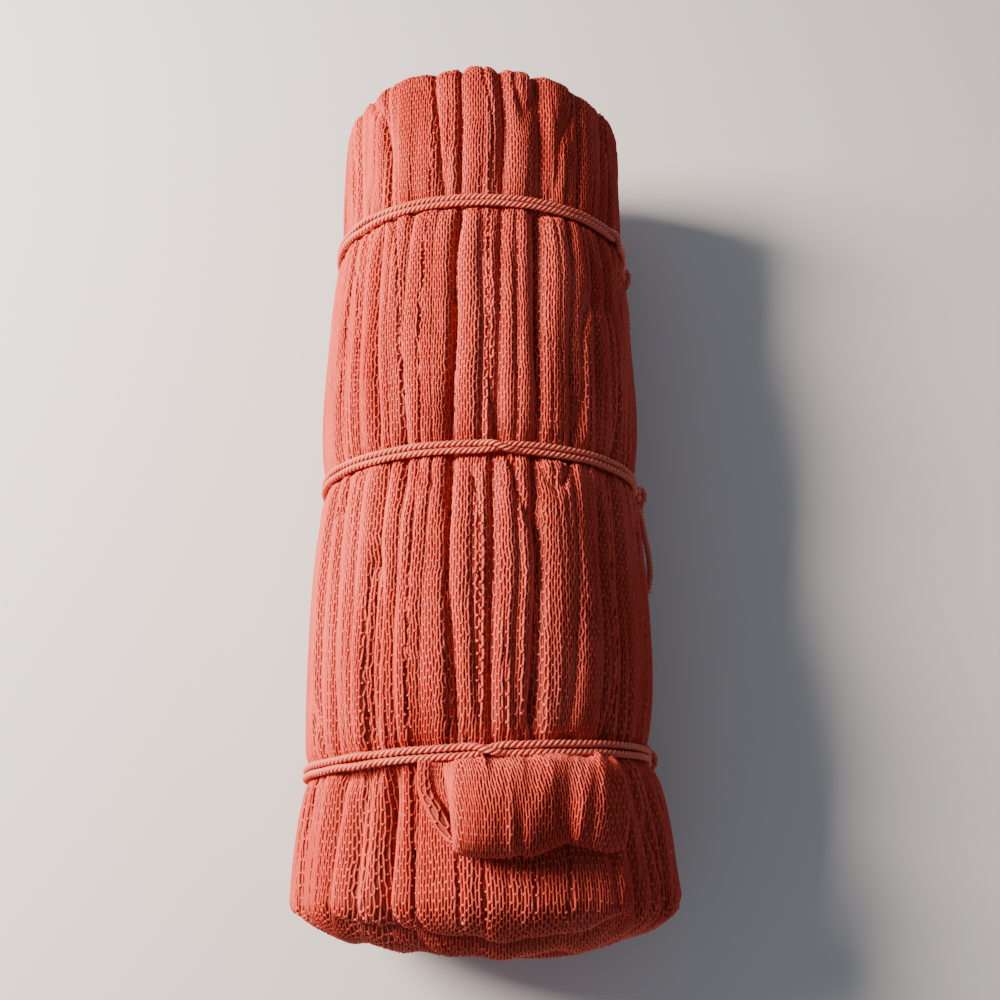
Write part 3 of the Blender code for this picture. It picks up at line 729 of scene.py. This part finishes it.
# The pad's section, in shares of its width and half thickness: from the middle of its
# underside round the right edge, along the top, round the left edge and back. Threads are
# spaced by the run along it, in which the curled lip counts for more than it looks.
round_edge = [(PAD_EDGE * math.sin(turn), math.cos(turn)) for turn in np.linspace(0, math.pi, 13)]
section = [(0.5, -1.0)]
section += [(1 - PAD_EDGE + bulge, -height) for bulge, height in round_edge]
section += [(LIP, 1.0), (LIP / 2, 1.0)]
section += [(PAD_EDGE - bulge, height) for bulge, height in round_edge]
section += [(LIP / 2, -1.0), (LIP, -1.0), (0.5, -1.0)]
section = np.array(section)
places = (section[1:, 0] + section[:-1, 0]) / 2
widths = np.select([places < LIP / 2, places < LIP], [1.8, 1.2], 1.0) * PAD_WIDTH
steps = np.diff(section, axis=0)
section_run = np.concatenate([[0], np.cumsum(np.hypot(steps[:, 0] * widths, steps[:, 1] * PAD))])


def pad_point(share, along, out=0.0):
    """Points of the pad's outside: share goes round it, along goes from the tie over and back under."""
    share, along = np.broadcast_arrays(np.asarray(share, float), np.asarray(along, float))
    spot = ((0.5 - share) % 1) * section_run[-1]
    across = np.interp(spot, section_run, section[:, 0])
    face = np.interp(spot, section_run, section[:, 1])
    tie = TIES["lower"]

    def sheet(along, across):
        left, right = np.interp(along, *left_edge), np.interp(along, *right_edge)
        x = left + (right - left) * across
        reach = np.interp(along, route_share, route[:, 0]) * np.interp(x, *noses)
        rise = np.interp(along, route_share, route[:, 1]) * np.interp(x, *rises)
        y = tie.y - reach
        half_height = (at(y, "top") - at(y, "under")) / 2
        aside = np.minimum(np.abs(x - at(y, "middle_x")) / at(y, "half_width"), 0.98)
        top = (at(y, "top") + at(y, "under")) / 2 + half_height * (1 - aside**ROUNDNESS) ** (1 / ROUNDNESS)
        free = np.clip(np.minimum(along, 1 - along) / 0.10, 0, 1)  # 0 under the tie
        upper, under = np.clip((NOSE - along) / 0.1, 0, 1), np.clip((along - NOSE) / 0.1, 0, 1)
        curl = np.clip((LIP_X - x) / (LIP_X - left + 1e-9), 0, 1.2) ** 1.25 * upper * (left < LIP_X)
        sinks = 1 - 0.5 * np.clip((along - 0.7) / 0.2, 0, 1)
        bead = np.exp(-(((x - left - BEAD_IN) / BEAD_HALF_WIDTH) ** 2)) * under * sinks
        return np.stack([x, y + tie.skew * x, top + rise + free * (BEAD * bead - LIP_DROP * curl)], -1)

    middle = sheet(along, across)
    ahead = unit(sheet(np.clip(along + 0.004, 0, 1), across) - sheet(np.clip(along - 0.004, 0, 1), across))
    aside = unit(sheet(along, np.clip(across + 0.01, 0, 1)) - sheet(along, np.clip(across - 0.01, 0, 1)))
    normal = unit(np.cross(aside, ahead))
    x = middle[..., 0]
    fold = np.zeros(x.shape)
    for start, x_start, end, x_end, depth, half_width in HAIRPIN_FOLDS:
        passed = np.clip((along - start) / (end - start), 0, 1)
        fades = np.clip(1 - np.abs(along - (start + end) / 2) / ((end - start) / 2 + 0.06), 0, 1)
        fades = fades * fades * (3 - 2 * fades) if end - start < 0.2 else np.sqrt(fades)
        off = (x - x_start - (x_end - x_start) * passed) / half_width
        fold = fold + depth * fades * np.exp(-np.abs(off) ** 1.5)
    ripple = 0.0008 * patchy(x / 0.006, along / 0.3, 51) + 0.0004 * patchy(x / 0.0028, along / 0.2, 52)
    upper = np.clip((NOSE + 0.04 - along) / 0.1, 0, 1)
    half = PAD * np.clip(np.minimum(along, 1 - along) / 0.08, 0.35, 1)  # thinner where the tie pinches it
    stands = face * half - fold * upper + ripple + out * np.where(face < 0, -1, 1)
    return middle + normal * stands[..., None]


def on_pad(column, row):
    return pad_point(column / PAD_COLUMNS, row / PAD_ROWS)


pad_shares = np.arange(PAD_COLUMNS) / PAD_COLUMNS
pad_rings = [pad_point(pad_shares, along, -BODY_SINK) for along in np.linspace(0, 1, PAD_RINGS)]
pad = rings_solid("turned_over_pad", pad_rings, np.arange(PAD_COLUMNS), shaded_inner_netting)
pad_threads = knotted("turned_over_pad_net", on_pad, np.arange(PAD_COLUMNS), (0, PAD_ROWS), openness, 2)
pad_knots = net_knots("turned_over_pad_knots", on_pad, np.arange(PAD_COLUMNS + 1), (1, PAD_ROWS))
for piece in (pad, pad_threads, pad_knots):
    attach(piece, "root")

# ---------------------------------------------------------------------------
# The ties
# The same twine goes twice round the bundle, hauled tight enough to sink into it, and
# the two ends are knotted together at its side. One turn rides over the other where
# it was crossed.
TURN_OUT = 0.0026  # from the netting to the middle of the twine
TURN_PITCH = 0.0044
TURN_STEP = 0.0011  # metres between the points of a strand
HALF_KNOT = 5.0  # degrees either side of the knot's middle that the knot takes up
WANDER = 0.00025  # how far each turn strays from its line
CROSSINGS = {"lower": 3.0, "middle": 6.8, "upper": 64.0}  # degrees from the top
CROSSING_HALF = 5.0  # degrees
RIDE_OVER, RIDE_OVER_HALF = 0.0034, 3.6  # how much higher the turn on top goes there, for how many degrees
PARTING = {"lower": (-40.0, 0.0004), "middle": (-62.0, 0.0002), "upper": (-50.0, 0.0012)}  # where, how far
PARTING_HALF = 6.0  # degrees
WRAP_TURNS, WRAP_START = 1.9, 2.2  # of the twine round the knot, in turns and radians
WRAP_OUT, WRAP_ALONG, WRAP_RISE = 0.0041, 0.0046, 0.0094
WRAP_POINTS, CORE_POINTS = 60, 23  # what is past these points lies inside the turns
CORE_ROUTE = (  # out from the bundle, along it to either side and up, from the knot's middle
    (-0.0012, 0.0023, 0.0125),
    (0.0004, 0.0021, 0.0050),
    (0.0012, 0.0022, -0.0040),
    (0.0020, 0.0032, -0.0096),
)

for name, tie in TIES.items():
    first, last = tie.knot_angle + HALF_KNOT, tie.knot_angle + 360 - HALF_KNOT
    turn = np.linspace(first, last, 640)[::8]  # its last point is short of the knot, which covers its end
    off = (turn + 180) % 360 - 180
    crossing = off - CROSSINGS[name]
    swap = -np.sin(np.clip(crossing / CROSSING_HALF, -1, 1) * math.pi / 2)
    where, apart = PARTING[name]
    gap = apart * np.exp(-(((off - where) / PARTING_HALF) ** 2))
    for letter, sign in (("a", 1), ("b", -1)):
        shift = sign * swap * (TURN_PITCH / 2 + gap) + WANDER * patchy(turn / 9, sign, 61)
        lift = RIDE_OVER * np.exp(-((crossing / RIDE_OVER_HALF) ** 2)) * (sign > 0)
        path = skin(turn, tie.y + shift, TURN_OUT + lift, creased=False)
        piece = laid(f"twine_{name}_turn_{letter}", [evenly(path, TURN_STEP)])
        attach(piece, "root")
        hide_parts(f"tie_{name}_turn_{letter}")
    middle = middle_of(f"tie_{name}_knot")
    share = np.linspace(0, 1, 30)
    winding = math.tau * WRAP_TURNS * share + WRAP_START
    wrap = np.stack([WRAP_OUT * np.cos(winding), WRAP_ALONG * np.sin(winding),
                     WRAP_RISE * share - 0.0048 + 0.0014 * np.sin(winding + 0.6)], 1)
    knot = laid(f"twine_{name}_knot", [evenly(middle + wrap, STEP)[:WRAP_POINTS]])
    cores = [middle + np.array(CORE_ROUTE) * (1, side, 1) for side in (-1, 1)]
    inside = laid(f"twine_{name}_knot_core", [evenly(core, STEP)[:CORE_POINTS] for core in cores])
    for piece in (knot, inside):
        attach(piece, "root")
        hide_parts(f"tie_{name}_knot")

# ---------------------------------------------------------------------------
# Floor and light
# A plain pale floor, one large soft lamp from the left, and dim daylight all round.
bpy.ops.object.select_all(action="DESELECT")
bpy.ops.mesh.primitive_plane_add(size=8.0, location=(0.0, 0.0, 0.0))
floor = bpy.context.object
floor.name = "floor"
matt = bpy.data.materials.new("pale_floor")
matt.use_nodes = True
matt.node_tree.nodes["Principled BSDF"].inputs["Base Color"].default_value = linear("#CFCDC9")
matt.node_tree.nodes["Principled BSDF"].inputs["Roughness"].default_value = 0.9
floor.data.materials.append(matt)

world = bpy.data.worlds.new("studio")
world.use_nodes = True
world.node_tree.nodes["Background"].inputs["Color"].default_value = linear("#DEE8FA")
world.node_tree.nodes["Background"].inputs["Strength"].default_value = 0.33
bpy.context.scene.world = world
bpy.ops.object.light_add(type="AREA", location=(-1.15, 0.30, 0.90))
key = bpy.context.object
key.data.size = 0.55
key.data.energy = 92.0
key.data.color = (1.0, 0.85, 0.76)
key.rotation_euler = (Vector((0.0, 0.0, 0.08)) - key.location).to_track_quat("-Z", "Y").to_euler()
